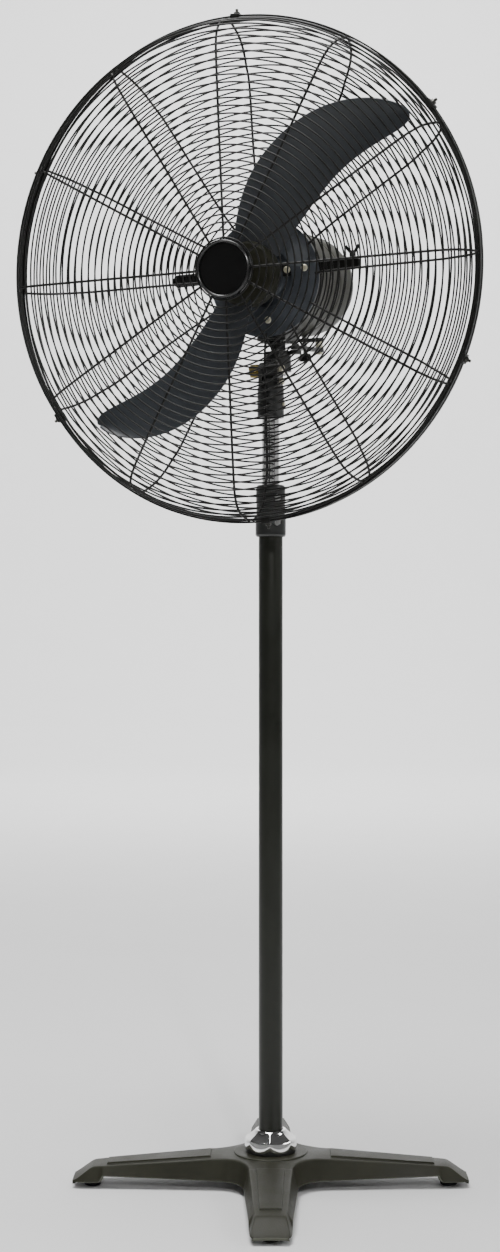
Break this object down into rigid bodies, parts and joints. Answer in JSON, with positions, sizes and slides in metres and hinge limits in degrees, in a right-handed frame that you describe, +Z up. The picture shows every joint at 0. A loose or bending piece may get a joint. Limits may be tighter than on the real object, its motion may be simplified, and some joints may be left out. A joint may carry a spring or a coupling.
{
  "type": "pedestal fan",
  "caption": "Pedestal fan: cross base, telescopic column, tilting and oscillating motor head, swept propeller inside a round wire cage.",
  "frame": {"origin": "on the floor under the column axis, at the middle of the four feet", "axes": "+Z up along the column; the head blows towards -Y at rest; +X is the fan's right seen from the front"},
  "size_m": [0.76, 0.5772, 1.8036],
  "materials": {
    "cast_black": "satin",
    "tube_black": "satin",
    "chrome": "polished",
    "steel": "satin",
    "zinc": "satin",
    "brass": "satin",
    "rubber": "matte",
    "nylon": "matte",
    "black_plastic": "gloss",
    "motor_paint": "satin",
    "bell_paint": "satin",
    "guard_wire": "gloss",
    "blade_paint": "satin",
    "laminations": "satin",
    "copper": "satin",
    "gear_alloy": "satin",
    "head_black": "satin"
  },
  "bodies": {
    "stand": {"base_casting": "cast_black", "foot_pads": "rubber", "base_bolt": "steel", "tube_plug": "steel", "chrome_collar": "chrome", "outer_tube": "tube_black", "height_collar": "head_black", "collar_bush": "nylon", "clamp_screws": "steel"},
    "mast": {"inner_tube": "chrome", "tube_guide": "nylon", "neck_socket": "head_black", "socket_screws": "zinc", "tilt_bolt": "zinc"},
    "tilt_lock": {"tilt_knob": "brass"},
    "neck": {"neck_body": "head_black", "pivot_bush": "brass"},
    "head": {"pivot_pin": "steel", "thrust_washer": "steel", "motor_mount": "head_black", "mount_screws": "steel", "motor_shell": "motor_paint", "front_bell": "bell_paint", "rear_cover": "motor_paint", "stator_core": "laminations", "stator_windings": "copper", "motor_bearings": "steel", "capacitor": "nylon", "gearbox_case": "gear_alloy", "gearbox_lid": "gear_alloy", "cable_gland": "black_plastic", "speed_switch": "black_plastic", "support_arms": "guard_wire", "flange_screws": "zinc", "wing_nut": "guard_wire", "rear_guard_plate": "bell_paint", "rear_guard_rings": "guard_wire", "rear_guard_spokes": "guard_wire", "rim_band": "guard_wire", "front_guard_rings": "guard_wire", "front_guard_spokes": "guard_wire", "guard_clips": "guard_wire", "clip_screws": "steel", "badge": "black_plastic", "badge_rim": "black_plastic"},
    "speed_control": {"speed_knob": "black_plastic"},
    "rotor": {"motor_shaft": "steel", "rotor_core": "laminations", "drive_worm": "brass", "blade_hub": "head_black", "blade_1": "blade_paint", "blade_2": "blade_paint", "blade_rivets": "blade_paint", "hub_nut": "steel"},
    "lay_shaft": {"lay_gear": "brass"},
    "crank": {"output_shaft": "steel", "crank_arm": "head_black", "crank_pin": "zinc"},
    "link": {"link_rod": "head_black"},
    "oscillation_lock": {"oscillation_knob": "black_plastic"}
  },
  "joints": [
    {"name": "mast_slide", "type": "slide", "parent": "stand", "child": "mast", "axis": [0, 0, 1], "range_m": [-0.015, 0.3]},
    {"name": "tilt", "type": "hinge", "parent": "mast", "child": "neck", "pos_m": [0, 0, 1.28], "axis": [1, 0, 0], "range_deg": [-25, 1]},
    {"name": "tilt_lock_turn", "type": "hinge", "parent": "mast", "child": "tilt_lock", "pos_m": [-0.025, 0, 1.28], "axis": [1, 0, 0], "range_deg": [-180, 180]},
    {"name": "oscillation", "type": "hinge", "parent": "neck", "child": "head", "pos_m": [0, 0.03269, 1.29768], "axis": [0, -0.0802, 0.9968], "range_deg": [-45, 45]},
    {"name": "rotor_spin", "type": "hinge", "parent": "head", "child": "rotor", "pos_m": [0, -0.0962, 1.41572], "axis": [0, -0.9968, -0.0802], "continuous": true},
    {"name": "lay_gear_spin", "type": "hinge", "parent": "head", "child": "lay_shaft", "pos_m": [0, 0.10759, 1.41416], "axis": [1, 0, 0], "continuous": true},
    {"name": "crank_turn", "type": "hinge", "parent": "head", "child": "crank", "pos_m": [0.008, 0.12623, 1.34333], "axis": [0, -0.0802, 0.9968], "range_deg": [-60.5, 60.5]},
    {"name": "link_swing", "type": "hinge", "parent": "crank", "child": "link", "pos_m": [0.0325, 0.12759, 1.32638], "axis": [0, -0.0802, 0.9968], "range_deg": [-60.5, 60.5]},
    {"name": "oscillation_lock_turn", "type": "hinge", "parent": "crank", "child": "oscillation_lock", "pos_m": [0.008, 0.12847, 1.31542], "axis": [0, -0.0802, 0.9968], "range_deg": [-180, 180]},
    {"name": "speed_select", "type": "hinge", "parent": "head", "child": "speed_control", "pos_m": [0, 0.19876, 1.46554], "axis": [0, 0.9968, 0.0802], "range_deg": [0, 135]}
  ],
  "couplings": [
    {"joint": "lay_gear_spin", "follows": "rotor_spin", "ratio": 0.045455},
    {"joint": "crank_turn", "follows": "oscillation", "ratio": -1.3333},
    {"joint": "link_swing", "follows": "oscillation", "ratio": 1.3333}
  ]
}
